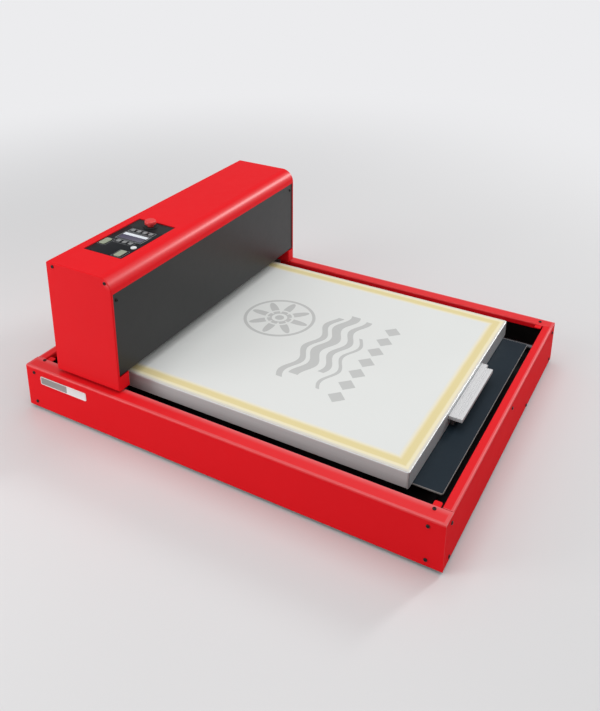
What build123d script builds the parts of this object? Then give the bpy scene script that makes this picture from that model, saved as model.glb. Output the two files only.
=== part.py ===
from build123d import *
import os

os.makedirs("parts", exist_ok=True)

# Base tray, millimetres
base_length = 920.0
base_depth = 724.0
base_height = 98.0
foot_height = 5.0
foot_width = 30.0
foot_inset = 42.0
foot_edge = 1.5
sheet = 2.0
bend_radius = 3.0
rail_near = 36.0
rail_far = 28.0
rail_end = 20.0
lip_height = 12.0
bottom_flange = 20.0
pan_gap = 1.0
tab_width = 14.0
tab_reach = 13.0
tab_lap = 14.0
tab_end_gap = 23.0
tab_slack = 1.0
tab_corner = 2.0

# Bed and linear guides
slot_width = 57.0
bed_end_gap = 38.0
bed_level = 73.0
bed_thick = 3.0
bed_corner = 4.0
support_width = 60.0
support_flange = 16.0
support_end_gap = 132.0
support_inset = 22.0
shaft_radius = 10.0
shaft_level = 47.0
bed_edge = 0.8

# Screen frame, which these gaps leave 31 by 23 inches
frame_end_gap = 93.0
frame_back_gap = 40.0
frame_side_gap = 38.0
tube_height = 35.0
tube_width = 32.0
tube_wall = 2.5
tube_radius = 2.0
frame_corner = 5.0
mesh_thick = 0.6
mesh_margin = 1.5

# Travelling head
head_park = 76.0
head_depth = 165.0
head_inset = 15.5
head_height = 350.0
run_gap = 5.0
mouth_height = 25.0
brow_height = 33.0
brow_radius = 30.0
back_radius = 6.0
cap_thick = 4.0
cap_edge = 1.6
front_setback = 2.0
front_fold = 12.0
front_tuck = 5.0
side_plate = 4.0
side_width = 110.0
side_reach = 170.0
side_corner = 8.0
side_gap = 6.0
carriage_length = 100.0
carriage_width = 30.0
carriage_height = 40.0
carriage_run_fit = 0.05
thermal_width = 40.0
thermal_drop = 18.0
thermal_taper = 12.0
thermal_setback = 54.0
thermal_end_gap = 8.0

# Control panel
deck_length = 177.0
deck_width = 99.0
deck_near_gap = 79.5
deck_front_gap = 11.0
deck_corner = 3.0
deck_lap = 4.0
deck_thick = 2.5
display_back_gap = 19.0
display_front_gap = 15.5
display_width = 31.0
display_proud = 0.8
display_along = 93.5
display_corner = 2.0
key_proud = 1.6
film_thick = 0.4
film_margin = 3.0
small_key = 9.4
small_key_gap = 6.2
upper_row_along = 122.5
lower_row_along = 66.5
wide_key_length = 27.0
wide_key_width = 15.6
key_corner = 2.0
back_key_across = 13.0
back_key_along = 52.0
front_key_inset = 20.0
front_key_along = 20.5
start_key_radius = 6.3
start_key_inset = 13.5
start_key_along = 54.0
stop_across = 47.5
stop_along = 156.0
stop_radius = 12.5
stop_cap_height = 9.0
stop_crown_drop = 4.0
stop_crown_inset = 3.0
stop_neck_radius = 6.5
stop_ring_radius = 16.0
stop_ring_height = 2.5
stop_ring_edge = 1.2
stop_travel = 4.0
stop_fit = 0.05
stop_cap_gap = 1.0
stop_tail = 3.0

# Frame stop
stop_bar_length = 193.0
stop_bar_width = 27.0
stop_bar_drop = 8.0
stop_bar_thick = 7.5
stop_foot_width = 8.0
stop_foot_inset = 12.0
stop_strip_width = 12.5
stop_strip_extra = 12.0
stop_edge = 0.6
stop_gap = 0.5

# Power inlet
inlet_width = 48.0
inlet_height = 28.0
inlet_wall = 2.5
inlet_corner = 3.0
inlet_depth = 30.0
inlet_from_far = 120.0
pin_pitch = 8.0
pin_width = 2.0
pin_height = 6.0

# Levels and edges that the pieces share
half_length = base_length / 2
half_depth = base_depth / 2
z_base = foot_height
z_rail = z_base + base_height
z_pan = z_base + sheet
z_floor = z_pan + sheet
open_near = -half_depth + rail_near
open_far = half_depth - rail_far
mid_y = (open_near + open_far) / 2
z_bed = z_base + bed_level
bed_x = half_length - bed_end_gap
bed_near = open_near + slot_width
bed_far = open_far - slot_width
z_shaft = z_base + shaft_level
z_frame = z_bed + tube_height
frame_right = half_length - frame_end_gap
frame_left = -half_length + frame_back_gap
frame_near = open_near + frame_side_gap
frame_far = open_far - frame_side_gap
frame_length = frame_right - frame_left
frame_width = frame_far - frame_near
head_back = -half_length + head_park
head_front = head_back + head_depth
head_mid = (head_back + head_front) / 2
z_head = z_base + head_height
z_under = z_frame + mouth_height
z_brow = z_head - brow_height
z_skirt = z_rail + run_gap
cap_near = -half_depth + head_inset
cap_far = half_depth - head_inset
plate_near = open_near + side_gap
plate_far = open_far - side_gap


def save(piece, label):
    piece.part.label = label
    export_step(piece.part, f"parts/{label}.step")


def block(xs, ys, zs, mode=Mode.ADD):
    middle = [(a + b) / 2 for a, b in (xs, ys, zs)]
    with Locations(tuple(middle)):
        Box(xs[1] - xs[0], ys[1] - ys[0], zs[1] - zs[0], mode=mode)


# Side panels: a face with a top rail, an inner lip and a bottom flange, folded from one sheet
def side_panel(side, rail):
    half = sheet / 2
    face = side * (half_depth - half)
    with BuildPart() as panel:
        with BuildSketch(Plane.YZ.offset(-half_length)):
            with BuildLine():
                FilletPolyline(
                    (side * (half_depth - bottom_flange), z_base + half),
                    (face, z_base + half),
                    (face, z_rail - half),
                    (side * (half_depth - rail + half), z_rail - half),
                    (side * (half_depth - rail + half), z_rail - lip_height),
                    radius=bend_radius - half,
                )
            trace(line_width=sheet)
        extrude(amount=base_length)
        inner = sorted((side * (half_depth - sheet), side * (half_depth - rail - sheet)))
        for end in (-1, 1):
            edge = sorted((end * half_length, end * (half_length - sheet)))
            fold = sorted((end * half_length, end * (half_length - bottom_flange)))
            block(edge, inner, (z_base - sheet, z_rail - sheet), Mode.SUBTRACT)
            block(fold, inner, (z_base - sheet, z_base + bend_radius), Mode.SUBTRACT)
            notch_x = [end * (half_length - tab_end_gap + tab_slack)]
            notch_x.append(end * (half_length - tab_end_gap - tab_width - tab_slack))
            block(sorted(notch_x), inner, (z_rail - lip_height - sheet, z_rail - sheet), Mode.SUBTRACT)
    return panel


# End panels fit between the side panels, under the ends of their rails
def end_panel(end):
    half = sheet / 2
    face = end * (half_length - half)
    with BuildPart() as panel:
        with BuildSketch(Plane.XZ.offset(-half_depth + sheet)):
            with BuildLine():
                FilletPolyline(
                    (end * (half_length - bottom_flange), z_base + half),
                    (face, z_base + half),
                    (face, z_rail - half),
                    (end * (half_length - rail_end + half), z_rail - half),
                    (end * (half_length - rail_end + half), z_rail - lip_height),
                    radius=bend_radius - half,
                )
            trace(line_width=sheet)
        extrude(amount=base_depth - 2 * sheet)
        flange = sorted((end * (half_length - sheet), end * (half_length - rail_end - sheet)))
        whole = sorted((end * (half_length + sheet), end * (half_length - rail_end - sheet)))
        for low, high in ((-half_depth, open_near), (open_far, half_depth)):
            block(whole, (low, high), (z_rail - bend_radius, z_rail + sheet), Mode.SUBTRACT)
            block(flange, (low, high), (z_rail - lip_height - sheet, z_rail), Mode.SUBTRACT)
    return panel


near_panel = side_panel(-1, rail_near)
far_panel = side_panel(1, rail_far)
save(near_panel, "near_panel")
save(far_panel, "far_panel")
right_panel = end_panel(1)
save(right_panel, "right_panel")
left_panel = end_panel(-1)

# Power inlet in the left end panel
inlet_y = half_depth - inlet_from_far
z_inlet = z_base + base_height / 2
inlet_hollow = inlet_depth - 2 * inlet_wall
with BuildPart() as power_inlet:
    with BuildSketch(Plane.YZ.offset(-half_length)):
        with Locations((inlet_y, z_inlet)):
            RectangleRounded(inlet_width, inlet_height, inlet_corner)
    extrude(amount=inlet_depth)
    with BuildSketch(Plane.YZ.offset(-half_length)):
        with Locations((inlet_y, z_inlet)):
            Rectangle(inlet_width - 2 * inlet_wall, inlet_height - 2 * inlet_wall)
    extrude(amount=inlet_hollow, mode=Mode.SUBTRACT)
    with BuildSketch(Plane.YZ.offset(-half_length + inlet_wall)):
        with Locations((inlet_y, z_inlet)):
            with GridLocations(pin_pitch, 0, 3, 1):
                Rectangle(pin_width, pin_height)
    extrude(amount=inlet_hollow)
save(power_inlet, "power_inlet")

with BuildPart() as left_end:
    add(left_panel.part)
    with BuildSketch(Plane.YZ.offset(-half_length)):
        with Locations((inlet_y, z_inlet)):
            RectangleRounded(inlet_width, inlet_height, inlet_corner)
    extrude(amount=sheet, mode=Mode.SUBTRACT)
save(left_end, "left_panel")

# Bottom pan lies on the four bottom flanges
with BuildPart() as bottom_pan:
    with BuildSketch(Plane.XY.offset(z_pan)):
        Rectangle(base_length - 2 * (sheet + pan_gap), base_depth - 2 * (sheet + pan_gap))
    extrude(amount=sheet)
save(bottom_pan, "bottom_pan")

foot_x = half_length - foot_inset
foot_y = half_depth - foot_inset
foot_names = {(-1, -1): "foot_1", (1, -1): "foot_2", (-1, 1): "foot_3", (1, 1): "foot_4"}
for (sx, sy), foot_name in foot_names.items():
    with BuildPart() as foot:
        with BuildSketch():
            with Locations((sx * foot_x, sy * foot_y)):
                Rectangle(foot_width, foot_width)
        extrude(amount=z_pan)
        chamfer(foot.faces().sort_by(Axis.Z)[0].edges(), foot_edge)
    save(foot, foot_name)

# Corner tabs are screwed up against the side rails and reach into the opening
z_tab = z_rail - sheet
for sx, end_name in ((-1, "left"), (1, "right")):
    for edge_y, sy, side_name in ((open_near, 1, "near"), (open_far, -1, "far")):
        outer_x = sx * (half_length - tab_end_gap)
        tab_x = sorted((outer_x, outer_x - sx * tab_width))
        tab_y = sorted((edge_y - sy * tab_lap, edge_y + sy * tab_reach))
        with BuildPart() as tab:
            block(tab_x, tab_y, (z_tab - sheet, z_tab))
            chamfer(tab.edges().filter_by(Axis.Z), tab_corner)
        save(tab, f"corner_tab_{end_name}_{side_name}")

# Bed plate on three hat-section supports
with BuildPart() as bed_plate:
    with BuildSketch(Plane.XY.offset(z_bed - bed_thick)):
        with Locations((0, mid_y)):
            RectangleRounded(2 * bed_x, bed_far - bed_near, bed_corner)
    extrude(amount=bed_thick)
    chamfer(bed_plate.faces().sort_by(Axis.Z)[-1].edges(), bed_edge)
save(bed_plate, "bed_plate")

support_top = z_bed - bed_thick
support_pitch = bed_x - support_end_gap
for number, step in enumerate((-1, 0, 1), start=1):
    centre = step * support_pitch
    hip = support_width / 2 - sheet / 2
    with BuildPart() as bed_support:
        with BuildSketch(Plane.XZ.offset(-bed_far + support_inset)):
            with BuildLine():
                FilletPolyline(
                    (centre - hip - support_flange, z_floor + sheet / 2),
                    (centre - hip, z_floor + sheet / 2),
                    (centre - hip, support_top - sheet / 2),
                    (centre + hip, support_top - sheet / 2),
                    (centre + hip, z_floor + sheet / 2),
                    (centre + hip + support_flange, z_floor + sheet / 2),
                    radius=bend_radius - sheet / 2,
                )
            trace(line_width=sheet)
        extrude(amount=bed_far - bed_near - 2 * support_inset)
    save(bed_support, f"bed_support_{number}")

# Guide shafts run between the two end panels
carriage_near = plate_near + side_plate
carriage_far = plate_far - side_plate
shaft_near = carriage_near + carriage_width / 2
shaft_far = carriage_far - carriage_width / 2
shaft_x = half_length - sheet
for shaft_y, side_name in ((shaft_near, "near"), (shaft_far, "far")):
    with BuildPart() as shaft:
        with BuildSketch(Plane.YZ.offset(-shaft_x)):
            with Locations((shaft_y, z_shaft)):
                Circle(shaft_radius)
        extrude(amount=2 * shaft_x)
    save(shaft, f"guide_shaft_{side_name}")


# Screen frame: four mitred box tubes, each given by its outer corners, anticlockwise
def frame_bar(start, end):
    a, b = Vector(*start, z_bed), Vector(*end, z_bed)
    along = (b - a).normalized()
    inward = along.rotate(Axis.Z, 90)
    with BuildPart() as bar:
        with BuildSketch(Plane(origin=a, x_dir=inward, z_dir=along)):
            with Locations((tube_width / 2, tube_height / 2)):
                RectangleRounded(tube_width, tube_height, tube_radius)
                hollow = (tube_width - 2 * tube_wall, tube_height - 2 * tube_wall)
                Rectangle(*hollow, mode=Mode.SUBTRACT)
        extrude(amount=(b - a).length)
        split(bisect_by=Plane(origin=a, z_dir=along - inward), keep=Keep.TOP)
        split(bisect_by=Plane(origin=b, z_dir=-along - inward), keep=Keep.TOP)
        with BuildSketch(Plane.XY.offset(z_bed)):
            with Locations(((frame_left + frame_right) / 2, mid_y)):
                RectangleRounded(frame_length, frame_width, frame_corner)
        extrude(amount=tube_height, mode=Mode.INTERSECT)
    return bar


frame_corners = [
    (frame_left, frame_near),
    (frame_right, frame_near),
    (frame_right, frame_far),
    (frame_left, frame_far),
]
for index, bar_name in enumerate(("near", "right", "far", "left")):
    bar = frame_bar(frame_corners[index], frame_corners[(index + 1) % 4])
    save(bar, f"frame_bar_{bar_name}")

with BuildPart() as screen_mesh:
    with BuildSketch(Plane.XY.offset(z_frame)):
        with Locations(((frame_left + frame_right) / 2, mid_y)):
            mesh_size = (frame_length - 2 * mesh_margin, frame_width - 2 * mesh_margin)
            RectangleRounded(*mesh_size, frame_corner - mesh_margin)
    extrude(amount=mesh_thick)
save(screen_mesh, "screen_mesh")

# Stop bar that the frame is pushed against, on the bed plate
stop_left = frame_right + stop_gap
stop_right = stop_left + stop_bar_width
z_stop = z_frame - stop_bar_drop
z_stop_under = z_stop - stop_bar_thick
stop_near = mid_y - stop_bar_length / 2
stop_far = mid_y + stop_bar_length / 2
with BuildPart() as stop_bar:
    block((stop_left, stop_right), (stop_near, stop_far), (z_stop_under, z_stop))
    strip_x = (stop_left, stop_left + stop_strip_width)
    block(strip_x, (stop_far, stop_far + stop_strip_extra), (z_stop_under, z_stop))
    chamfer(stop_bar.faces().sort_by(Axis.Z)[-1].edges(), stop_edge)
    stop_foot_x = (stop_left, stop_left + stop_foot_width)
    block(stop_foot_x, (stop_near + stop_foot_inset, stop_far - stop_foot_inset), (z_bed, z_stop_under))
save(stop_bar, "frame_stop")


# Travelling head: end caps with the rounded brow
def end_cap(side, outer_y):
    inner_y = outer_y - side * cap_thick
    with BuildPart() as cap:
        with BuildSketch(Plane.XZ.offset(-outer_y)) as outline:
            with Locations((head_mid, (z_skirt + z_head) / 2)):
                Rectangle(head_depth, z_head - z_skirt)
            top = outline.vertices().group_by(Axis.Y)[-1].sort_by(Axis.X)
            fillet(top[-1], brow_radius)
            top = outline.vertices().group_by(Axis.Y)[-1].sort_by(Axis.X)
            fillet(top[0], back_radius)
        extrude(amount=outer_y - inner_y)
        outer_face = cap.faces().filter_by(Axis.Y).sort_by(Axis.Y)[0 if side < 0 else -1]
        chamfer(outer_face.edges(), cap_edge)
    return cap


save(end_cap(-1, cap_near), "head_cap_near")
save(end_cap(1, cap_far), "head_cap_far")

# One folded sheet makes the back, the top and the rounded brow, with a window for the controls
inside_near = cap_near + cap_thick
inside_far = cap_far - cap_thick
deck_right = head_front - brow_radius - deck_front_gap
deck_left = deck_right - deck_width
deck_near = cap_near + deck_near_gap
deck_far = deck_near + deck_length
deck_centre = ((deck_left + deck_right) / 2, (deck_near + deck_far) / 2)
z_deck = z_head - sheet
with BuildPart() as head_cover:
    with BuildSketch(Plane.XZ.offset(-inside_far)):
        with BuildLine():
            FilletPolyline(
                (head_back + sheet / 2, z_under),
                (head_back + sheet / 2, z_head - sheet / 2),
                (head_front - sheet / 2, z_head - sheet / 2),
                (head_front - sheet / 2, z_brow),
                radius=[back_radius - sheet / 2, brow_radius - sheet / 2],
            )
        trace(line_width=sheet)
    extrude(amount=inside_far - inside_near)
    with BuildSketch(Plane.XY.offset(z_deck)):
        with Locations(deck_centre):
            RectangleRounded(deck_width, deck_length, deck_corner)
    extrude(amount=2 * sheet, mode=Mode.SUBTRACT)
save(head_cover, "head_cover")

# Front panel, folded back at both edges and tucked behind the brow
panel_x = head_front - front_setback - sheet / 2
with BuildPart() as front_panel:
    with BuildSketch(Plane.XZ.offset(-inside_far)):
        with BuildLine():
            FilletPolyline(
                (panel_x - front_fold, z_brow + front_tuck),
                (panel_x, z_brow + front_tuck),
                (panel_x, z_under + sheet / 2),
                (panel_x - front_fold, z_under + sheet / 2),
                radius=bend_radius - sheet / 2,
            )
        trace(line_width=sheet)
    extrude(amount=inside_far - inside_near)
save(front_panel, "front_panel")

z_underside = z_under + sheet
cheek_near = plate_near + side_plate
cheek_far = plate_far - side_plate
with BuildPart() as under_panel:
    under_x = (head_back + bend_radius, head_front - front_setback - bend_radius)
    block(under_x, (cheek_near, cheek_far), (z_underside, z_underside + sheet))
save(under_panel, "under_panel")

# Thermal head bar, tapered to its heating edge
thermal_right = head_front - thermal_setback
thermal_left = thermal_right - thermal_width
thermal_start = cheek_near + sheet + thermal_end_gap
thermal_end = cheek_far - sheet - thermal_end_gap
with BuildPart() as thermal_bar:
    with BuildSketch(Plane.XZ.offset(-thermal_end)):
        with BuildLine():
            Polyline(
                (thermal_left, z_underside),
                (thermal_right, z_underside),
                (thermal_right, z_underside - thermal_drop / 2),
                (thermal_right - thermal_taper, z_underside - thermal_drop),
                (thermal_left + thermal_taper, z_underside - thermal_drop),
                (thermal_left, z_underside - thermal_drop / 2),
                close=True,
            )
        make_face()
    extrude(amount=thermal_end - thermal_start)
save(thermal_bar, "thermal_bar")

# Legs, side plates and carriages, the same at both ends of the head
for side, cap_y, plate_y, shaft_y, side_name in (
    (1, inside_near, plate_near, shaft_near, "near"),
    (-1, inside_far, plate_far, shaft_far, "far"),
):
    cheek = plate_y + side * (side_plate + sheet / 2)
    with BuildPart() as leg_cover:
        with BuildSketch(Plane.XY.offset(z_skirt)):
            with BuildLine():
                FilletPolyline(
                    (head_front - sheet / 2, cap_y),
                    (head_front - sheet / 2, cheek),
                    (head_back + sheet / 2, cheek),
                    (head_back + sheet / 2, cap_y),
                    radius=bend_radius - sheet / 2,
                )
            trace(line_width=sheet)
        extrude(amount=z_under - z_skirt)
    save(leg_cover, f"leg_cover_{side_name}")

    inner_face = plate_y + side * side_plate
    low, high = sorted((plate_y, inner_face))
    z_low = z_shaft - carriage_height / 2
    z_high = z_under + side_reach
    with BuildPart() as head_plate:
        with BuildSketch(Plane.XZ.offset(-high)):
            with Locations((head_mid, (z_low + z_high) / 2)):
                RectangleRounded(side_width, z_high - z_low, side_corner)
        extrude(amount=high - low)
    save(head_plate, f"head_plate_{side_name}")

    with BuildPart() as carriage:
        with BuildSketch(Plane.YZ.offset(head_mid - carriage_length / 2)):
            with Locations((shaft_y, z_shaft)):
                RectangleRounded(carriage_width, carriage_height, bend_radius)
                Circle(shaft_radius + carriage_run_fit, mode=Mode.SUBTRACT)
        extrude(amount=carriage_length)
    save(carriage, f"carriage_{side_name}")

# Control panel under the window
stop_x = deck_left + stop_across
stop_y = deck_near + stop_along
with BuildPart() as control_deck:
    with BuildSketch(Plane.XY.offset(z_deck - deck_thick)):
        with Locations(deck_centre):
            Rectangle(deck_width + 2 * deck_front_gap, deck_length + 2 * deck_lap)
        with Locations((stop_x, stop_y)):
            Circle(stop_neck_radius + stop_fit, mode=Mode.SUBTRACT)
    extrude(amount=deck_thick)
save(control_deck, "control_deck")

display_length = deck_width - display_back_gap - display_front_gap
display_x = deck_left + display_back_gap + display_length / 2
display_y = deck_near + display_along
z_film = z_deck + film_thick


def key_row(along, count):
    with Locations((display_x, deck_near + along)):
        with GridLocations(small_key + small_key_gap, 0, count, 1):
            RectangleRounded(small_key, small_key, small_key / 4)


# Keypad film with raised keys in rows each side of the display
with BuildPart() as keypad:
    film_end = stop_y - stop_ring_radius - film_margin
    film_start = deck_near + film_margin
    with BuildSketch(Plane.XY.offset(z_deck)):
        with Locations((deck_centre[0], (film_start + film_end) / 2)):
            RectangleRounded(deck_width - 2 * film_margin, film_end - film_start, deck_corner)
    extrude(amount=film_thick)
    with BuildSketch(Plane.XY.offset(z_film)):
        key_row(upper_row_along, 4)
        key_row(lower_row_along, 3)
        with Locations(
            (deck_left + back_key_across, deck_near + back_key_along),
            (deck_right - front_key_inset, deck_near + front_key_along),
        ):
            RectangleRounded(wide_key_width, wide_key_length, key_corner)
    extrude(amount=key_proud)
save(keypad, "keypad")

with BuildPart() as display:
    with BuildSketch(Plane.XY.offset(z_film)):
        with Locations((display_x, display_y)):
            RectangleRounded(display_length, display_width, display_corner)
    extrude(amount=display_proud)
    chamfer(display.faces().sort_by(Axis.Z)[-1].edges(), display_proud / 4)
save(display, "display")

with BuildPart() as start_key:
    with BuildSketch(Plane.XY.offset(z_film)):
        with Locations((deck_right - start_key_inset, deck_near + start_key_along)):
            Circle(start_key_radius)
    extrude(amount=key_proud)
    chamfer(start_key.faces().sort_by(Axis.Z)[-1].edges(), key_proud / 4)
save(start_key, "start_key")

# Mushroom stop button in its ring
with BuildPart() as stop_ring:
    with BuildSketch(Plane.XY.offset(z_deck)):
        with Locations((stop_x, stop_y)):
            Circle(stop_ring_radius)
            Circle(stop_neck_radius + stop_fit, mode=Mode.SUBTRACT)
    extrude(amount=stop_ring_height)
    rim = stop_ring.faces().sort_by(Axis.Z)[-1].edges().sort_by(SortBy.RADIUS)[-1]
    chamfer(rim, stop_ring_edge)
save(stop_ring, "stop_ring")

z_cap = z_deck + stop_ring_height + stop_travel + stop_cap_gap
z_tail = z_deck - deck_thick - stop_tail
z_crown = z_cap + stop_cap_height
with BuildPart() as stop_button:
    with BuildSketch(Plane(origin=(stop_x, stop_y, 0), x_dir=(1, 0, 0), z_dir=(0, -1, 0))):
        with BuildLine():
            Polyline(
                (0, z_tail),
                (stop_neck_radius, z_tail),
                (stop_neck_radius, z_cap),
                (stop_radius, z_cap),
                (stop_radius, z_crown),
                (0, z_crown),
                close=True,
            )
        make_face()
    revolve(axis=Axis((stop_x, stop_y, 0), (0, 0, 1)))
    crown_face = stop_button.faces().sort_by(Axis.Z)[-1]
    chamfer(crown_face.edges(), stop_crown_inset, stop_crown_drop, reference=crown_face)
save(stop_button, "stop_button")
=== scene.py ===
import math

import bmesh
import bpy
from mathutils import Matrix, Vector


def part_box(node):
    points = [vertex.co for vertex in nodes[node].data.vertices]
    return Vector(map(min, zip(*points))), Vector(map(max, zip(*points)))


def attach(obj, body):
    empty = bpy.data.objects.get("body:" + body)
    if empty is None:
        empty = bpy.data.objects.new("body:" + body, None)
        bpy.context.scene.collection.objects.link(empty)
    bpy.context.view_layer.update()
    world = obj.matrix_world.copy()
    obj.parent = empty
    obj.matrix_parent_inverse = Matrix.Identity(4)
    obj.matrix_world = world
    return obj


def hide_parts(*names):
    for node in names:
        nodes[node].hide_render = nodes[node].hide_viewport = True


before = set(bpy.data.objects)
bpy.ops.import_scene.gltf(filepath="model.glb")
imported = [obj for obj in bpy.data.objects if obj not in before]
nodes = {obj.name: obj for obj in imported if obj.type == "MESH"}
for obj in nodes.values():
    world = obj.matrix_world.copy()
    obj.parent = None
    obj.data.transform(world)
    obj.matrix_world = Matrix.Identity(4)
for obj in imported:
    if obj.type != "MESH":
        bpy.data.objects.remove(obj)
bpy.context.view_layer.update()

mm = 0.001


def tint(red, green, blue):  # screen values, 0 to 255, as a linear colour
    shares = [value / 255 for value in (red, green, blue)]
    return [s / 12.92 if s <= 0.04045 else ((s + 0.055) / 1.055) ** 2.4 for s in shares] + [1.0]


class Wire:  # a node's output, on which Python's own signs add Math nodes
    def __init__(self, finish, socket):
        self.finish, self.socket = finish, socket

    def maths(self, operation, *values):
        return self.finish.node("Math", {"operation": operation}, dict(enumerate(values)))

    def __add__(self, other):
        return self.maths("ADD", self, other)

    def __sub__(self, other):
        return self.maths("SUBTRACT", self, other)

    def __rsub__(self, other):
        return self.maths("SUBTRACT", other, self)

    def __mul__(self, other):
        return self.maths("MULTIPLY", self, other)

    def __gt__(self, other):
        return self.maths("GREATER_THAN", self, other)

    def __lt__(self, other):
        return self.maths("LESS_THAN", self, other)

    def __and__(self, other):
        return self.maths("MINIMUM", self, other)

    def __or__(self, other):
        return self.maths("MAXIMUM", self, other)

    def __abs__(self):
        return self.maths("ABSOLUTE", self)

    __radd__ = __add__
    __rmul__ = __mul__


class Finish:  # one material, read on Object coordinates
    def __init__(self, name, **fixed):
        self.material = bpy.data.materials.new(name)
        self.material.use_nodes = True
        self.tree = self.material.node_tree
        self.shader = self.tree.nodes["Principled BSDF"]
        for socket, value in fixed.items():
            self.shader.inputs[socket].default_value = value
        self.place = self.node("TexCoord", output="Object")
        self.x, self.y, self.z = (self.node("SeparateXYZ", inputs={0: self.place}, output=n) for n in "XYZ")

    def node(self, kind, settings=None, inputs=None, output=0):
        made = self.tree.nodes.new("ShaderNode" + kind)
        for name, value in (settings or {}).items():
            setattr(made, name, value)
        for name, value in (inputs or {}).items():
            self.plug(made.inputs[name], value)
        return Wire(self, made.outputs[output])

    def plug(self, socket, value):
        if isinstance(value, Wire):
            self.tree.links.new(value.socket, socket)
        else:
            socket.default_value = value

    def feed(self, **sockets):
        for name, value in sockets.items():
            self.plug(self.shader.inputs[name.replace("_", " ")], value)

    def mix(self, share, first, second):
        return self.node("Mix", {"data_type": "RGBA"}, {0: share, 6: first, 7: second}, 2)

    def ramp(self, value, low, high):  # 0 below low, 1 above high
        return self.node("MapRange", {"interpolation_type": "SMOOTHSTEP"}, {0: value, 1: low, 2: high})

    def noise(self, scale, detail=2.0, stretch=(1, 1, 1)):
        spread = self.node("Mapping", inputs={"Vector": self.place, "Scale": stretch})
        return self.node("TexNoise", inputs={"Vector": spread, "Scale": scale, "Detail": detail})

    def bump(self, height, strength, distance=0.0002):
        settings = {"Strength": strength, "Distance": distance, "Height": height}
        self.feed(Normal=self.node("Bump", inputs=settings))

    def grain(self, scale, strength, detail=1):
        self.bump(self.noise(scale, detail), strength)

    def between(self, value, low, high):
        return (value > low) & (value < high)

    def wear(self, *names):  # gives this finish to CAD nodes by the starts of their names
        for name in nodes:
            if name.startswith(names):
                for slot in nodes[name].material_slots:
                    slot.material = self.material


# Camera at the photograph's viewing angle
shot = {
    "place": (0.752054, -1.371488, 1.067999),
    "forward": (-0.46307488, 0.80898474, -0.36208473),
    "right": (0.86784462, 0.49683568, 0.00015313),
    "focal": 825.91,  # pixels
    "imageHeight": 711,
    "shiftDown": 165.5,
    "shiftSide": 10.86,
    "sensor": 36,  # millimetres
    "farthest": 50,
}
bpy.ops.object.camera_add()
camera = bpy.context.object
forward, right = Vector(shot["forward"]).normalized(), Vector(shot["right"]).normalized()
up = right.cross(forward)
camera.matrix_world = Matrix.Translation(shot["place"]) @ Matrix((right, up, -forward)).transposed().to_4x4()
camera.data.sensor_fit = "AUTO"
camera.data.sensor_width = shot["sensor"]
camera.data.lens = shot["focal"] / shot["imageHeight"] * shot["sensor"]
camera.data.shift_x = shot["shiftSide"] / shot["imageHeight"]
camera.data.shift_y = -shot["shiftDown"] / shot["imageHeight"]
camera.data.clip_end = shot["farthest"]
bpy.context.scene.camera = camera
bpy.context.scene.view_settings.view_transform = "Standard"
print("camera set")

# Studio light and a plain pale table top
studio = {
    "ambient": 0.38,
    "aim": (-0.05, 0.0, 0.15),
    "lamps": {
        "keyLamp": {"place": (-1.1, -2.4, 2.2), "size": (1.8, 0.8), "power": 13},
        "topLamp": {"place": (0.3, 0.0, 2.8), "size": (3.0, 2.4), "power": 37},
        "sideLamp": {"place": (-1.3, -1.6, 0.7), "size": (0.9, 0.9), "power": 10},
        "browLamp": {
            "place": (1.95, 3.85, 2.4), "size": (1.8, 0.6), "power": 112, "aim": (-0.25, 3.85, 0.33),
        },
    },
}
world = bpy.data.worlds.new("studio")
world.use_nodes = True
bpy.context.scene.world = world
sky = world.node_tree.nodes["Background"]
sky.inputs["Color"].default_value = (1, 1, 1, 1)
sky.inputs["Strength"].default_value = studio["ambient"]
for name, lamp in studio["lamps"].items():
    bpy.ops.object.light_add(type="AREA", location=lamp["place"])
    made = bpy.context.object
    made.name = name
    made.data.shape = "RECTANGLE"
    made.data.size, made.data.size_y = lamp["size"]
    made.data.energy = lamp["power"]
    toward = Vector(lamp.get("aim", studio["aim"])) - Vector(lamp["place"])
    made.rotation_euler = toward.to_track_quat("-Z", "Y").to_euler()

tabletop = {
    "size": 44, "tone": tint(224, 224, 225), "far": tint(236, 236, 238), "plain": (0.85, 2.6),
    "drift": 1.5, "dull": 0.98,
}
bpy.ops.object.select_all(action="DESELECT")
bpy.ops.mesh.primitive_plane_add(size=tabletop["size"], location=(0, 0, 0))
floor = bpy.context.object
floor.name = "studioFloor"
floorFinish = Finish("tableTop", **{"Roughness": 0.38, "IOR": 1.5, "Specular IOR Level": 0.4})
patch = floorFinish.noise(tabletop["drift"])
dull = [tabletop["dull"] * c for c in tabletop["tone"][:3]] + [1]
floorFinish.feed(Base_Color=floorFinish.mix(patch, tabletop["tone"], dull))
rays = floorFinish.tree.nodes.new("ShaderNodeLightPath")
seen = Wire(floorFinish, rays.outputs["Is Camera Ray"])
for kind in ("Is Glossy Ray", "Is Transmission Ray"):
    seen = seen | Wire(floorFinish, rays.outputs[kind])
reach = floorFinish.node("VectorMath", {"operation": "LENGTH"}, {0: floorFinish.place}, 1)
away = floorFinish.ramp(reach, *tabletop["plain"])
lit = Wire(floorFinish, floorFinish.shader.outputs[0])
plain = floorFinish.node("Emission", inputs={"Color": tabletop["far"], "Strength": 1.0})
blend = floorFinish.node("MixShader", inputs={0: seen * away, 1: lit, 2: plain})
floorFinish.tree.links.new(blend.socket, floorFinish.tree.nodes["Material Output"].inputs["Surface"])
floor.data.materials.append(floorFinish.material)
print("studio lit")


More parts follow.
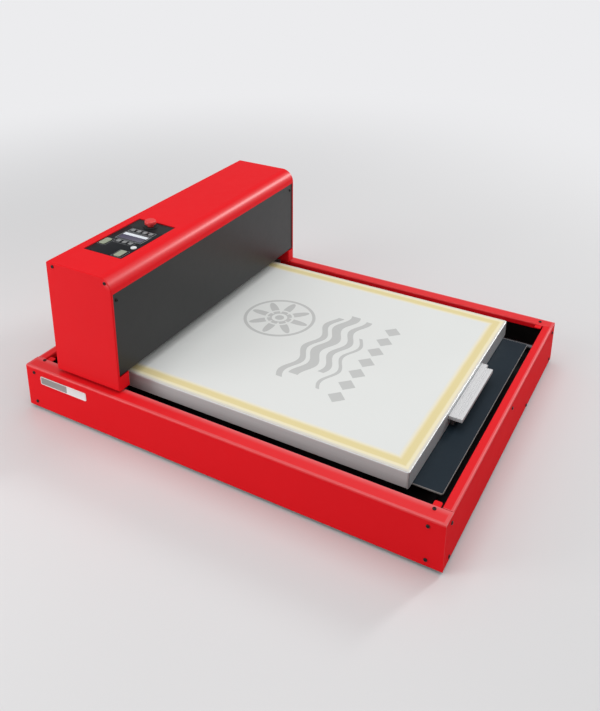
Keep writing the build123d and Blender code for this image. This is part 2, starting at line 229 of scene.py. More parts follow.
# Sheet metal and bar finishes on the CAD nodes
paint = {
    "red": (0.80, 0.007, 0.013), "cloud": 0.035, "drift": 7, "rough": 0.44, "spots": 45, "spread": 0.10,
    # the inside tone is painted shade inside the tray; the pale pink tone is the painted highlight on the
    # bends
    "grain": 1500, "strength": 0.10, "inside": (0.016, 0.013, 0.013, 1), "bendHighlight": (0.80, 0.14, 0.15, 1),
    "headSheen": 0.12, "traySheen": 0.07, "endSheen": 0.008, "coatRough": 0.38,
    "browFront": (20 * mm, 9 * mm), "browTop": (25 * mm, 13 * mm),  # where gloss fades in, from front and top
}
rail = {
    "depth": 3.5 * mm, "bend": 5.5 * mm, "nearWidth": 37 * mm, "farLap": 1 * mm, "lip": 12.1 * mm,
    "skin": 1 * mm, "gloss": 0.5, "longGloss": 0.4,
    # the band and bends that take the painted highlight; the wear pair gives its share and patchy spread
    "innerHighlight": (20 * mm, 34 * mm), "highlightBendDepth": 1.2 * mm, "highlightBendShare": 0.6,
    "wear": (0.6, 0.3), "highlightSpots": 60,
}
nearLow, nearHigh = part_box("near_panel")
farLow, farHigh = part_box("far_panel")
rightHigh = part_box("right_panel")[1]
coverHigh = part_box("head_cover")[1]


def paintRed(name, sheen, gloss, black=None, bendHighlight=None):  # the last three give shares over the surface: gloss, painted shade and painted highlight
    made = Finish(name, **{"Specular IOR Level": sheen, "Coat Roughness": paint["coatRough"]})
    deep = [c * (1 - paint["cloud"]) for c in paint["red"]] + [1]
    bright = [c * (1 + paint["cloud"]) for c in paint["red"]] + [1]
    red = made.mix(made.noise(paint["drift"]), deep, bright)
    # painted highlight, pale pink along the bends
    if bendHighlight:
        red = made.mix(bendHighlight(made), red, paint["bendHighlight"])
    # painted shade, near black inside the tray
    if black:
        red = made.mix(black(made), red, paint["inside"])
    rough = paint["rough"] + made.noise(paint["spots"]) * paint["spread"]
    made.feed(Base_Color=red, Roughness=rough, Coat_Weight=gloss(made))
    made.grain(paint["grain"], paint["strength"])
    return made


def browGloss(made):  # the polished curve along the front of the head
    forward = made.ramp(made.x, *(coverHigh.x - back for back in paint["browFront"]))
    return forward * made.ramp(made.z, *(coverHigh.z - down for down in paint["browTop"]))


def onRails(made):
    return made.z > nearHigh.z - rail["depth"]


def outerBends(made):
    side = (made.y < nearLow.y + rail["bend"]) | (made.y > farHigh.y - rail["bend"])
    return onRails(made) & (side | (abs(made.x) > rightHigh.x - rail["bend"]))


def railGloss(made):  # the rails, most on the long ones and on the bends at their edges
    long = (made.y < nearLow.y + rail["nearWidth"]) | (made.y > farLow.y - rail["farLap"])
    flat = onRails(made) * rail["gloss"] + long * onRails(made) * rail["longGloss"]
    return flat | outerBends(made)


def paintedBendHighlight(made):  # painted highlight: paler pink along the bends, in uneven patches
    inner = made.ramp(made.y, *(nearLow.y + across for across in rail["innerHighlight"]))
    inner = inner * (made.y < nearLow.y + rail["nearWidth"])
    bend = outerBends(made) & (made.z > nearHigh.z - rail["highlightBendDepth"])
    share = (inner & onRails(made)) | bend * rail["highlightBendShare"]
    return share * (rail["wear"][0] + made.noise(rail["highlightSpots"]) * rail["wear"][1])


def trayInsideShade(made):  # painted shade: near black below the lips and inward of the outer faces
    within = made.between(made.x, nearLow.x + rail["skin"], nearHigh.x - rail["skin"])
    within = within & made.between(made.y, nearLow.y + rail["skin"], farHigh.y - rail["skin"])
    return within & (made.z < nearHigh.z - rail["lip"])


paintRed("redPowderCoat", paint["headSheen"], browGloss).wear("head_c", "leg_cover", "corner_tab")
trayCoat = paintRed("redTrayCoat", paint["traySheen"], railGloss, trayInsideShade, paintedBendHighlight)
trayCoat.wear("near_panel", "far_panel", "left_panel")
paintRed("redEndCoat", paint["endSheen"], railGloss, trayInsideShade, paintedBendHighlight).wear("right_panel")


def toned(name, look, **fixed):  # drifts between two tones, over a fine grain
    made = Finish(name, **fixed)
    tone = made.mix(made.noise(look["drift"]), (*look["dark"], 1), (*look["light"], 1))
    made.feed(Base_Color=tone, Roughness=look["rough"] + made.noise(look["spots"]) * look["spread"])
    made.grain(look["grain"], look["strength"], look.get("detail", 1))
    return made


satin = {
    "dark": (0.010, 0.0105, 0.011), "light": (0.014, 0.0145, 0.015), "drift": 9,
    "rough": 0.36, "spots": 60, "spread": 0.08, "grain": 1800, "strength": 0.12,
}
toned("blackSatinPaint", satin, **{"Specular IOR Level": 0.42}).wear("front_panel")
darkSheet = {
    "dark": (0.022, 0.022, 0.024), "light": (0.04, 0.04, 0.043), "drift": 14,
    "rough": 0.5, "spots": 80, "spread": 0.15, "grain": 900, "strength": 0.1, "detail": 2,
}
toned("darkSheetSteel", darkSheet, Metallic=0.3).wear("bottom_pan", "bed_support", "under_panel")

bed = {
    "dark": (0.010, 0.019, 0.028, 1), "light": (0.014, 0.025, 0.036, 1), "bareAndHighlightTone": (0.30, 0.29, 0.28, 1),
    "rim": 0.9 * mm, "coatThick": 0.1 * mm,
}
slate = Finish("slateBedCoat", **{"Specular IOR Level": 0.15})
bedLow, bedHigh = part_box("bed_plate")
fromMiddle = abs(slate.y - (bedLow.y + bedHigh.y) / 2)
# the plate's cut sides are uncoated metal, and the 0.9 mm band along its top edges is a painted highlight in
# the same pale tone
edgeAndHighlightShare = (slate.z < bedHigh.z - bed["coatThick"]) | (fromMiddle > (bedHigh.y - bedLow.y) / 2 - bed["rim"])
edgeAndHighlightShare = edgeAndHighlightShare | (abs(slate.x) > bedHigh.x - bed["rim"])
coat = slate.mix(slate.noise(11), bed["dark"], bed["light"])
slate.feed(
    Base_Color=slate.mix(edgeAndHighlightShare, coat, bed["bareAndHighlightTone"]),
    Roughness=0.5 + slate.noise(70) * 0.12,
)
slate.grain(1200, 0.12, 2)
slate.wear("bed_plate")

lined = {"scale": 260, "detail": 3, "spread": 0.15, "strength": 0.12, "depth": 0.0003}


def brushed(name, dark, light, rough, metallic, stretch):  # drawn or ground metal with lines along one way
    made = Finish(name, Metallic=metallic)
    lines = made.noise(lined["scale"], lined["detail"], stretch)
    made.feed(
        Base_Color=made.mix(lines, (*dark, 1), (*light, 1)),
        Roughness=rough + lines * lined["spread"],
    )
    made.bump(lines, lined["strength"], lined["depth"])
    return made


metals = [  # name, dark and light tone, roughness, metallic share, stretch of the lines, CAD nodes
    # the bars along X take a paler, less metallic copy of the frame's aluminium: painted light that lifts the
    # near bar out of the tray's shade
    ("frameTubeAlongXLit", (0.70, 0.73, 0.73), (0.78, 0.81, 0.81), 0.38, 0.15, (0.05, 1, 1),
     ("frame_bar_near", "frame_bar_far")),
    ("frameTubeAlongY", (0.66, 0.69, 0.70), (0.74, 0.77, 0.78), 0.30, 0.45, (1, 0.05, 1),
     ("frame_bar_left", "frame_bar_right")),
    ("milledPlate", (0.42, 0.42, 0.43), (0.55, 0.55, 0.56), 0.32, 0.9, (1, 1, 0.06),
     ("head_plate", "carriage")),
    ("groundShaft", (0.05, 0.05, 0.055), (0.09, 0.09, 0.095), 0.2, 1.0, (4, 0.1, 0.1), ("guide_shaft",)),
]
for *look, wearers in metals:
    brushed(*look).wear(*wearers)

heat = {  # the heating line under the bar
    "strip": 5 * mm, "underside": 0.5 * mm, "line": (0.03, 0.02, 0.015, 1),
    "dark": (0.40, 0.40, 0.41, 1), "light": (0.5, 0.5, 0.51, 1),
}
thermal = Finish("thermalBar", Metallic=0.85)
barLow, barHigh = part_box("thermal_bar")
onStrip = abs(thermal.x - (barLow.x + barHigh.x) / 2) < heat["strip"]
onStrip = onStrip & (thermal.z < barLow.z + heat["underside"])
lines = thermal.noise(240, 3, (1, 0.05, 1))
thermal.feed(
    Base_Color=thermal.mix(onStrip, thermal.mix(lines, heat["dark"], heat["light"]), heat["line"]),
    Roughness=0.34 + lines * 0.12,
)
thermal.wear("thermal_bar")


def moulded(name, dark, light, rough, grain=1500, strength=0.15, **fixed):  # plastic or rubber
    look = {"dark": dark, "light": light, "rough": rough, "grain": grain, "strength": strength}
    return toned(name, {**look, "drift": 30, "spots": 120, "spread": 0.1}, **fixed)


blackPlastic = moulded("blackPlastic", (0.010, 0.011, 0.012), (0.016, 0.017, 0.018), 0.40,
                       **{"Specular IOR Level": 0.3})
blackPlastic.wear("control_deck")
moulded("footRubber", (0.012, 0.012, 0.012), (0.022, 0.022, 0.022), 0.72, 700, 0.3).wear("foot_")

pins = {  # their zone inside the socket
    "from": 2.4 * mm, "to": 5 * mm, "halfHigh": 3.1 * mm, "halfWide": 9.2 * mm,
    "plated": (0.62, 0.60, 0.55, 1),
}
inlet = Finish("inletPlastic")  # black socket with plated pins
socketLow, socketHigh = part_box("power_inlet")
pinZone = inlet.between(inlet.x, socketLow.x + pins["from"], socketHigh.x - pins["to"])
pinZone = pinZone & (abs(inlet.z - (socketLow.z + socketHigh.z) / 2) < pins["halfHigh"])
pinZone = pinZone & (abs(inlet.y - (socketLow.y + socketHigh.y) / 2) < pins["halfWide"])
housing = inlet.mix(inlet.noise(60), (0.012, 0.012, 0.013, 1), (0.02, 0.02, 0.021, 1))
inlet.feed(
    Base_Color=inlet.mix(pinZone, housing, pins["plated"]),
    Metallic=pinZone,
    Roughness=0.45 - pinZone * 0.2,
)
inlet.grain(1400, 0.15)
inlet.wear("power_inlet")
print("CAD nodes finished")


# Modelling helpers
def clearChoice():
    if bpy.context.mode == "EDIT_MESH":
        bpy.ops.object.mode_set(mode="OBJECT")
    bpy.ops.object.select_all(action="DESELECT")


def addBox(name, low, high):
    clearChoice()
    middle = [(a + b) / 2 for a, b in zip(low, high)]
    bpy.ops.mesh.primitive_cube_add(size=1, location=middle, scale=[b - a for a, b in zip(low, high)])
    return started(name)


def addDisc(name, centre, radius, height, sides):  # centre is the middle of its foot
    clearChoice()
    middle = (centre[0], centre[1], centre[2] + height / 2)
    bpy.ops.mesh.primitive_cylinder_add(vertices=sides, radius=radius, depth=height, location=middle)
    return started(name)


def started(name):
    made = bpy.context.object
    made.name = made.data.name = name
    bpy.ops.object.transform_apply(location=True, rotation=True, scale=True)
    return made


def choose(piece, test, kind="FACE"):  # selects what passes the test, in edit mode
    if bpy.context.mode != "EDIT_MESH":
        bpy.context.view_layer.objects.active = piece
        bpy.ops.object.mode_set(mode="EDIT")
    bpy.ops.mesh.select_mode(type=kind)
    bpy.ops.mesh.select_all(action="DESELECT")
    shape = bmesh.from_edit_mesh(piece.data)
    for part in {"FACE": shape.faces, "EDGE": shape.edges, "VERT": shape.verts}[kind]:
        part.select_set(test(part))
    shape.select_flush_mode()
    bmesh.update_edit_mesh(piece.data)


def cutAt(piece, axis, places):  # bisects the whole piece across one axis
    for place in places:
        choose(piece, lambda face: True)
        point, across = [0, 0, 0], [0, 0, 0]
        point[axis], across[axis] = place, 1
        bpy.ops.mesh.bisect(plane_co=point, plane_no=across)


def pull(shift):
    bpy.ops.mesh.extrude_region_move(TRANSFORM_OT_translate={"value": shift})


def upright(edge):
    return abs(edge.verts[0].co.z - edge.verts[1].co.z) > 0.9 * edge.calc_length()


def roundCorners(piece, radius, segments=4):
    choose(piece, upright, "EDGE")
    bpy.ops.mesh.bevel(offset=radius, segments=segments, affect="EDGES")


def dress(piece, finish, body, softEdge=0.0, replaced=()):  # finishes a piece and hands it over
    clearChoice()
    piece.select_set(True)
    bpy.context.view_layer.objects.active = piece
    if softEdge:
        edge = piece.modifiers.new("softEdge", "BEVEL")
        edge.width, edge.segments, edge.limit_method = softEdge, 2, "ANGLE"
        bpy.ops.object.modifier_apply(modifier=edge.name)
    bpy.ops.object.shade_smooth_by_angle(angle=math.radians(35))
    if not piece.data.materials:
        piece.data.materials.append(finish.material)
    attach(piece, body)
    if replaced:
        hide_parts(*replaced)


def joined(pieces, name):
    clearChoice()
    for piece in pieces:
        piece.select_set(True)
    bpy.context.view_layer.objects.active = pieces[0]
    if len(pieces) > 1:
        bpy.ops.object.join()
    pieces[0].name = pieces[0].data.name = name
    return pieces[0]


# The stretched mesh with its cream glue edge, yellow blockout band and a pale generic print
cloth = {
    "cells": (60, 44), "corner": 3.5 * mm, "thick": 0.45 * mm, "threads": 2300, "ripple": 2 * mm,
    "white": tint(229, 231, 229), "shade": 0.96, "print": tint(190, 191, 190), "printShare": 0.85,
    "bands": [  # from the inside out: colour, its start in millimetres from the frame's edge, blur
        (tint(238, 230, 204), 32, 4.0), (tint(229, 214, 160), 27, 3.5),
        (tint(240, 230, 196), 12, 1.5), (tint(222, 217, 204), 5.5, 1.2),
    ],
}
low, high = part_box("screen_mesh")
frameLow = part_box("frame_bar_left")[0]
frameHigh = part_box("frame_bar_right")[1]
clearChoice()
bpy.ops.mesh.primitive_grid_add(
    x_subdivisions=cloth["cells"][0], y_subdivisions=cloth["cells"][1], size=1,
    location=((low.x + high.x) / 2, (low.y + high.y) / 2, high.z))
bpy.context.object.scale = (high.x - low.x, high.y - low.y, 1)
sheet = started("stretchedMesh")
corners = [(low.x, low.y), (low.x, high.y), (high.x, low.y), (high.x, high.y)]
choose(sheet, lambda v: any((v.co.xy - Vector(c)).length < 1 * mm for c in corners), "VERT")
bpy.ops.mesh.bevel(offset=cloth["corner"], segments=4, affect="VERTICES")
bpy.ops.object.mode_set(mode="OBJECT")
thickness = sheet.modifiers.new("thickness", "SOLIDIFY")
thickness.thickness, thickness.offset = cloth["thick"], -1
bpy.ops.object.modifier_apply(modifier=thickness.name)

meshCloth = Finish("screenMesh", **{"Roughness": 0.62, "Specular IOR Level": 0.3})
rimX = (meshCloth.x - frameLow.x) & (frameHigh.x - meshCloth.x)
rimY = (meshCloth.y - frameLow.y) & (frameHigh.y - meshCloth.y)
inward = rimX & rimY  # distance from the frame's outer edge
wavy = inward + (meshCloth.noise(25) - 0.5) * cloth["ripple"]


def soft(distance, edge, blur):  # 0 before the edge and 1 past it
    return meshCloth.node("MapRange", {"clamp": True}, {0: distance, 1: edge - blur, 2: edge + blur})


emblem = {  # its lengths are shares of the radius
    "centre": (-88 * mm, 52 * mm), "radius": 74 * mm, "petals": 8, "petal": (0.62, 0.34), "heart": 0.24,
    "gap": (0.42, 0.035), "dot": 0.14, "ring": (1.06, 0.05),
}
u, v = meshCloth.x - emblem["centre"][0], meshCloth.y - emblem["centre"][1]
reach = (u * u + v * v).maths("SQRT", u * u + v * v)
turn = u.maths("ARCTAN2", v, u)
petal = u.maths("COSINE", turn * emblem["petals"])


def circle(middle, half):  # a line round the emblem's centre
    return abs(reach - middle * emblem["radius"]) < half * emblem["radius"]


flower = reach < (emblem["petal"][0] + petal * emblem["petal"][1]) * emblem["radius"]
flower = flower & (reach > emblem["heart"] * emblem["radius"])
flower = flower & (1 - circle(*emblem["gap"]))
printed = flower | (reach < emblem["dot"] * emblem["radius"]) | circle(*emblem["ring"])
waves = {
    "lines": [  # middle x, half width, lowest y, highest y, all in millimetres
        (30, 7, -150, 118), (58, 11, -128, 140), (92, 7, -96, 132), (118, 4, -150, 60),
    ],
    "turns": 62, "swing": 9 * mm,
}
for middle, half, nearEnd, farEnd in waves["lines"]:
    swing = meshCloth.x - meshCloth.x.maths("SINE", meshCloth.y * waves["turns"]) * waves["swing"]
    line = (abs(swing - middle * mm) < half * mm) & meshCloth.between(meshCloth.y, nearEnd * mm, farEnd * mm)
    printed = printed | line
diamonds = {"x": 162 * mm, "pitch": 46 * mm, "size": 19 * mm, "ends": (-179 * mm, 143 * mm)}
step = meshCloth.y.maths("PINGPONG", meshCloth.y + 10, diamonds["pitch"] / 2)
row = (abs(meshCloth.x - diamonds["x"]) + step) < diamonds["size"]
row = row & meshCloth.between(meshCloth.y, *diamonds["ends"])
printed = printed | row
warp, weft = (place.maths("SINE", place * cloth["threads"]) for place in (meshCloth.x, meshCloth.y))
threads = warp * weft
shaded = [cloth["shade"] * c for c in cloth["white"][:3]] + [1]
white = meshCloth.mix(meshCloth.noise(5, 1), shaded, cloth["white"])
edged = meshCloth.mix(printed * cloth["printShare"], white, cloth["print"])
for tone, start, blur in cloth["bands"]:
    edged = meshCloth.mix(soft(wavy, start * mm, blur * mm), tone, edged)
meshCloth.feed(Base_Color=edged)
meshCloth.bump(threads * 0.5 + meshCloth.noise(600, 1) * 0.5, 0.08)
dress(sheet, meshCloth, "base", replaced=["screen_mesh"])
print("mesh stretched")


# Grooved stop bar beside the frame
stopBar = {
    "grooves": (4, 8, 12, 16, 20), "grooveWidth": 1.3, "grooveDepth": 0.8, "thick": 7.5, "foot": 8,
    "strip": 12.5, "cutPast": 0.4, "stripLength": 12, "footInset": 12, "edge": 0.3,
    "white": (0.70, 0.70, 0.71, 1), "cloud": (0.60, 0.60, 0.61, 1), "footShade": (0.03, 0.03, 0.032, 1),
}
low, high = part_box("frame_stop")
underZ, stripEnd = high.z - stopBar["thick"] * mm, high.y - stopBar["stripLength"] * mm
bar = addBox("groovedStop", (low.x, low.y, underZ), (high.x, stripEnd, high.z))
marks = [g + s * stopBar["grooveWidth"] / 2 for g in stopBar["grooves"] for s in (-1, 1)]
cutAt(bar, 0, [low.x + c * mm for c in marks + [stopBar["foot"], stopBar["strip"] + stopBar["cutPast"]]])
cutAt(bar, 1, [low.y + stopBar["footInset"] * mm, stripEnd - stopBar["footInset"] * mm])
choose(bar, lambda f: f.normal.y > 0.9 and f.calc_center_median().x < low.x + (stopBar["strip"] + 0.3) * mm)
pull((0, stopBar["stripLength"] * mm, 0))
for groove in stopBar["grooves"]:
    middle = low.x + groove * mm
    choose(bar, lambda f: f.normal.z > 0.9 and abs(f.calc_center_median().x - middle) < 0.3 * mm)
    pull((0, 0, -stopBar["grooveDepth"] * mm))
mid = (low.y + stripEnd) / 2
choose(bar, lambda f: f.normal.z < -0.9 and f.calc_center_median().x < low.x + stopBar["foot"] * mm
       and abs(f.calc_center_median().y - mid) < (stripEnd - low.y) / 2 - stopBar["footInset"] * mm)
pull((0, 0, low.z - underZ))
stopFinish = Finish("stopWhitePlastic")
# painted shade: the foot under the bar is near black
body = stopFinish.mix(stopFinish.z < underZ - 0.2 * mm, stopBar["white"], stopBar["footShade"])
stopFinish.feed(
    Base_Color=stopFinish.mix(stopFinish.noise(30) * 0.3, body, stopBar["cloud"]),
    Roughness=0.4 + stopFinish.noise(120) * 0.1,
)
stopFinish.grain(1500, 0.12)
dress(bar, stopFinish, "base", stopBar["edge"] * mm, ["frame_stop"])
print("stop bar grooved")


# Blank two-tone nameplate on the near side of the tray
plate = {
    "left": -420, "right": -296, "foot": 68.5, "head": 87, "thick": 1.2, "bedded": 0.2, "corner": 3,
    "rim": 1.6, "sink": 0.35, "split": 0.58, "edge": 0.15,
    "grey": tint(142, 136, 134), "pale": tint(238, 236, 236), "cloud": tint(190, 186, 186),
    "rimTone": tint(236, 232, 232),
}
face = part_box("near_panel")[0].y
label = addBox("blankNameplate", (plate["left"] * mm, face - plate["thick"] * mm, plate["foot"] * mm),
               (plate["right"] * mm, face + plate["bedded"] * mm, plate["head"] * mm))
choose(label, lambda e: abs(e.verts[0].co.y - e.verts[1].co.y) > 0.9 * e.calc_length(), "EDGE")
bpy.ops.mesh.bevel(offset=plate["corner"] * mm, segments=4, affect="EDGES")
choose(label, lambda f: f.normal.y < -0.9)
bpy.ops.mesh.inset(thickness=plate["rim"] * mm)
pull((0, plate["sink"] * mm, 0))
labelFinish = Finish("plateEnamel", **{"Coat Weight": 0.2, "Coat Roughness": 0.2})
split = (plate["left"] + plate["split"] * (plate["right"] - plate["left"])) * mm
rim = labelFinish.y < face - (plate["thick"] - 0.5 * plate["sink"]) * mm
tones = labelFinish.mix(labelFinish.x > split, plate["grey"], plate["pale"])
cloudy = labelFinish.mix(labelFinish.noise(60) * 0.2, tones, plate["cloud"])
labelFinish.feed(
    Base_Color=labelFinish.mix(rim, cloudy, plate["rimTone"]),
    Roughness=0.35 + labelFinish.noise(90) * 0.1,
)
labelFinish.grain(1500, 0.08)
dress(label, labelFinish, "base", plate["edge"] * mm)
print("nameplate set")


# Screws, one modelled at the origin and copied to its places
screw = {
    "radius": 3.4, "height": 1.9, "rounding": 0.9, "socket": 1.9, "sunk": 1.3, "sides": 24, "lobes": 6,
    "lobeDepth": 0.78,
}


def makeScrew():
    made = addDisc("screwHead", (0, 0, 0), screw["radius"] * mm, screw["height"] * mm, screw["sides"])
    choose(made, lambda e: min(v.co.z for v in e.verts) > 0.9 * screw["height"] * mm, "EDGE")
    bpy.ops.mesh.bevel(offset=screw["rounding"] * mm, segments=3, affect="EDGES")
    choose(made, lambda f: f.normal.z > 0.99 and len(f.verts) > 10)
    bpy.ops.mesh.inset(thickness=(screw["radius"] - screw["rounding"] - screw["socket"]) * mm)
    pull((0, 0, -screw["sunk"] * mm))
    tops = (screw["height"] - screw["sunk"]) * mm

    def inLobe(v):
        corner = math.cos(screw["lobes"] * math.atan2(v.co.y, v.co.x)) < -0.4
        return corner and v.co.xy.length < (screw["socket"] + 0.1) * mm

    choose(made, inLobe, "VERT")
    bpy.ops.transform.resize(value=(screw["lobeDepth"], screw["lobeDepth"], 1), center_override=(0, 0, tops))
    bpy.ops.object.mode_set(mode="OBJECT")
    return made


def placeScrews(name, spots, finish, body):
    pattern = makeScrew()
    copies = []
    for place, outward in spots:
        copy = pattern.copy()
        copy.data = pattern.data.copy()
        bpy.context.scene.collection.objects.link(copy)
        turned = Vector(outward).to_track_quat("Z", "Y").to_matrix().to_4x4()
        copy.matrix_world = Matrix.Translation([c * mm for c in place]) @ turned
        copies.append(copy)
    bpy.data.objects.remove(pattern)
    made = joined(copies, name)
    bpy.ops.object.transform_apply(location=True, rotation=True, scale=True)
    dress(made, finish, body)


near, far, top, left, right = (0, -1, 0), (0, 1, 0), (0, 0, 1), (-1, 0, 0), (1, 0, 0)
edges = {  # outer faces that the screws stand on, in millimetres
    "near": nearLow.y / mm, "far": farHigh.y / mm, "top": nearHigh.z / mm,
    "left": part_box("left_panel")[0].x / mm, "right": rightHigh.x / mm,
}
spots = {  # in millimetres along each face, then up it, or across it on top
    "near": ((-438, 90), (-438, 19.5), (430, 89), (430, 19.5)),
    "far": ((-438, 90), (-438, 19.5), (438, 90), (438, 19.5)),
    "top": ((-436, -332.5), (430, -335.5), (430, 346.5), (-434, 344)),
    "end": ((-334, 87), (-334, 17), (16, 87), (144, 14), (340, 87), (340, 18)),
    "cap": ((18, 8.5), (14.5, 11)),  # in from its back and front edges, then down from its top
    "brow": (15, 305),  # in from the caps, then up
}
blackScrew = brushed("blackenedScrew", (0.02, 0.018, 0.018), (0.05, 0.045, 0.045), 0.34, 0.7, (1, 1, 1))
baseSpots = [((x, edges["near"], z), near) for x, z in spots["near"]]
baseSpots += [((x, edges["far"], z), far) for x, z in spots["far"]]
baseSpots += [((x, y, edges["top"]), top) for x, y in spots["top"]]
baseSpots += [((edges["left"], y, z), left) for y, z in spots["end"]]
baseSpots += [((edges["right"], y, z), right) for y, z in spots["end"]]
placeScrews("trayScrews", baseSpots, blackScrew, "base")

capLow, capHigh = [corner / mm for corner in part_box("head_cap_near")]
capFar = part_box("head_cap_far")[1].y / mm
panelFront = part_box("front_panel")[1].x / mm
(backIn, backDown), (frontIn, frontDown) = spots["cap"]
capSpots = [(capLow.x + backIn, capHigh.z - backDown), (capHigh.x - frontIn, capHigh.z - frontDown)]
headSpots = [((x, capLow.y, z), near) for x, z in capSpots] + [((x, capFar, z), far) for x, z in capSpots]
browIn, browUp = spots["brow"]
headSpots += [((panelFront, y, browUp), right) for y in (capLow.y + browIn, capFar - browIn)]
placeScrews("headScrews", headSpots, blackScrew, "head")
print("screws set")


# Control panel: film, keys, display, start key and stop button
deckLow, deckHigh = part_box("keypad")
panel = {
    "left": -359, "near": -267, "film": 353.4, "corner": 3, "small": 9.4, "pitch": 15.6, "proud": 1.3,
    "rows": ((122.5, 4), (66.5, 3)), "wide": ((13, 52), (79, 20.5)), "wideSize": (15.6, 27),
    "displayMiddle": 51.25, "keyEdge": 0.2, "filmEdge": 0.1,
    "keyCorner": 0.22, "keyWell": 0.12,  # shares of a key's narrow side
    "keyRim": 0.9, "keyCrown": 0.25, "keyDish": 0.12,
    "boldFrames": ((17.5, 85, 76.5, 110.5), (19.5, 83, 114.5, 130.5)),  # left, right, near, far
    "fineFrames": ((27, 75.5, 58.5, 74.5), (3.8, 24, 36, 68), (67, 91, 5.5, 35.5)),
    "bold": 0.7, "fine": 0.35, "ink": (0.27, 0.28, 0.29, 1), "inkShare": 0.9,
    "dark": (0.010, 0.011, 0.013, 1), "light": (0.016, 0.018, 0.022, 1),
}


def makeKey(name, x, y, width, length):
    z = panel["film"] * mm
    key = addBox(name, ((x - width / 2) * mm, (y - length / 2) * mm, z),
                 ((x + width / 2) * mm, (y + length / 2) * mm, z + panel["proud"] * mm))
    roundCorners(key, min(width, length) * panel["keyCorner"] * mm)
    choose(key, lambda f: f.normal.z > 0.9)
    bpy.ops.mesh.inset(thickness=panel["keyRim"] * mm)
    bpy.ops.transform.translate(value=(0, 0, panel["keyCrown"] * mm))
    bpy.ops.mesh.inset(thickness=panel["keyWell"] * min(width, length) * mm)
    bpy.ops.transform.translate(value=(0, 0, -panel["keyDish"] * mm))
    return key


film = addBox("keypadFilm", (deckLow.x, deckLow.y, deckLow.z), (deckHigh.x, deckHigh.y, panel["film"] * mm))
roundCorners(film, panel["corner"] * mm)
filmFinish = Finish("keypadFilm", **{"Specular IOR Level": 0.06, "Coat Weight": 0.04, "Coat Roughness": 0.18})
across, along = filmFinish.x - panel["left"] * mm, filmFinish.y - panel["near"] * mm


def outline(x0, x1, y0, y1, width):  # a thin printed frame, in millimetres on the panel
    dx = abs(across - (x0 + x1) / 2 * mm) - (x1 - x0) / 2 * mm
    dy = abs(along - (y0 + y1) / 2 * mm) - (y1 - y0) / 2 * mm
    return abs(dx | dy) < width * mm


frames = [(*shape, panel["bold"]) for shape in panel["boldFrames"]]
frames += [(*shape, panel["fine"]) for shape in panel["fineFrames"]]
inks = outline(*frames[0])
for shape in frames[1:]:
    inks = inks | outline(*shape)
blackFilm = filmFinish.mix(filmFinish.noise(40), panel["dark"], panel["light"])
filmFinish.feed(
    Base_Color=filmFinish.mix(inks * panel["inkShare"], blackFilm, panel["ink"]),
    Roughness=0.34 + filmFinish.noise(100) * 0.1,
)
filmFinish.grain(1600, 0.1)
dress(film, filmFinish, "head", panel["filmEdge"] * mm, ["keypad"])

greyKey = moulded("greyKey", (0.20, 0.205, 0.21), (0.28, 0.285, 0.29), 0.4)
greenKey = moulded("greenKey", (0.27, 0.31, 0.22), (0.35, 0.39, 0.29), 0.4)
whiteKey = moulded("whiteKey", (0.74, 0.75, 0.76), (0.82, 0.83, 0.84), 0.3)
smallKeys = []
for rowAlong, count in panel["rows"]:
    for place in range(count):
        x = panel["left"] + panel["displayMiddle"] + (place - (count - 1) / 2) * panel["pitch"]
        smallKeys.append(makeKey("smallKey", x, panel["near"] + rowAlong, panel["small"], panel["small"]))
dress(joined(smallKeys, "smallKeys"), greyKey, "head", panel["keyEdge"] * mm)
wideKeys = [makeKey("wideKey", panel["left"] + x, panel["near"] + y, *panel["wideSize"])
            for x, y in panel["wide"]]
dress(joined(wideKeys, "wideKeys"), greenKey, "head", panel["keyEdge"] * mm)

low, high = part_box("display")
window = {
    "corner": 2, "rim": 1.6, "sink": 0.4, "bright": 9.5, "cells": 1900, "edge": 0.12,
    "strip": (0.80, 0.84, 0.90, 1), "bezel": (0.016, 0.016, 0.018, 1),
    "glass": ((0.045, 0.035, 0.085, 1), (0.075, 0.06, 0.13, 1)),
}
lcd = addBox("displayWindow", low, (high.x, high.y, high.z))
roundCorners(lcd, window["corner"] * mm)
choose(lcd, lambda f: f.normal.z > 0.9)
bpy.ops.mesh.inset(thickness=window["rim"] * mm)
pull((0, 0, -window["sink"] * mm))
lcdFinish = Finish("displayGlass", **{"Coat Weight": 0.8, "Coat Roughness": 0.04})
sunk = lcdFinish.z < high.z - 0.2 * mm
stripLow = high.y - (window["rim"] + window["bright"]) * mm
strip, glass = (lcdFinish.y > stripLow) & sunk, (lcdFinish.y < stripLow) & sunk
rows, columns = (way.maths("SINE", way * window["cells"]) for way in (lcdFinish.x, lcdFinish.y))
dark = lcdFinish.mix(lcdFinish.between(rows * columns, 0.2, 2.0) * 0.5, *window["glass"])
lcdFinish.feed(
    Base_Color=lcdFinish.mix(strip, lcdFinish.mix(glass, window["bezel"], dark), window["strip"]),
    Roughness=0.22 + lcdFinish.noise(120) * 0.08,
)
dress(lcd, lcdFinish, "head", window["edge"] * mm, ["display"])


def addTurned(name, node, shape):  # a disc in a node's place, its edge rounded and its top inset
    low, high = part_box(node)
    middle = ((low.x + high.x) / 2, (low.y + high.y) / 2, low.z)
    made = addDisc(name, middle, (high.x - low.x) / 2, high.z - low.z, shape["sides"])
    choose(made, lambda e: min(v.co.z for v in e.verts) > high.z - 0.05 * mm, "EDGE")
    bpy.ops.mesh.bevel(offset=shape["rounding"] * mm, segments=shape["segments"], affect="EDGES")
    choose(made, lambda f: f.normal.z > 0.99 and len(f.verts) > 20)
    bpy.ops.mesh.inset(thickness=shape["rim"] * mm)
    return made


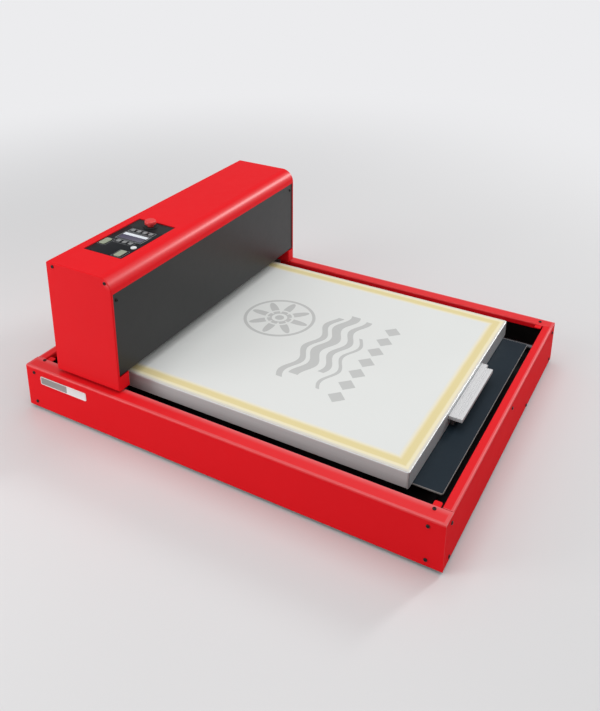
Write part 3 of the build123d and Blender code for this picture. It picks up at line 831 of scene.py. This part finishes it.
startKey = {"sides": 40, "rounding": 0.5, "segments": 3, "rim": 1.2, "dish": 0.3}
start = addTurned("startKey", "start_key", startKey)
bpy.ops.transform.translate(value=(0, 0, -startKey["dish"] * mm))
dress(start, whiteKey, "head", 0, ["start_key"])

stopCollar = {"sides": 56, "rounding": 1.1, "segments": 4, "rim": 2.2, "well": 0.7}
collar = addTurned("stopCollar", "stop_ring", stopCollar)
pull((0, 0, -stopCollar["well"] * mm))
dress(collar, blackPlastic, "head", 0, ["stop_ring"])

mushroom = {
    "capHeight": 9, "domeHeight": 0.4, "crown": 4.2, "neck": 6.5, "lip": 0.8, "sides": 56,
    "dome": ((1.6, 0.2), (2.2, 0.13), (2.2, 0.05)),  # each inset and its rise
}
low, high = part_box("stop_button")
middle = ((low.x + high.x) / 2, (low.y + high.y) / 2, high.z - mushroom["capHeight"] * mm)
radius = (high.x - low.x) / 2
capHeight = (mushroom["capHeight"] - mushroom["domeHeight"]) * mm
button = addDisc("stopMushroom", middle, radius, capHeight, mushroom["sides"])
choose(button, lambda e: min(v.co.z for v in e.verts) > high.z - 0.6 * mm, "EDGE")
bpy.ops.mesh.bevel(offset=mushroom["crown"] * mm, segments=7, affect="EDGES")
choose(button, lambda f: f.normal.z > 0.99 and len(f.verts) > 20)
for ringIn, rise in mushroom["dome"]:
    bpy.ops.mesh.inset(thickness=ringIn * mm)
    bpy.ops.transform.translate(value=(0, 0, rise * mm))
choose(button, lambda e: max(v.co.z for v in e.verts) < middle[2] + 0.05 * mm, "EDGE")
bpy.ops.mesh.bevel(offset=mushroom["lip"] * mm, segments=3, affect="EDGES")
choose(button, lambda f: f.normal.z < -0.99 and len(f.verts) > 20)
bpy.ops.mesh.inset(thickness=radius - (mushroom["neck"] + mushroom["lip"]) * mm)
pull((0, 0, low.z - middle[2]))
redPlastic = moulded("stopRed", (0.74, 0.03, 0.032), (0.82, 0.045, 0.045), 0.4, 1200, 0.06,
                     **{"Coat Weight": 0.2})
dress(button, redPlastic, "stop_button", 0, ["stop_button"])
print("controls set")
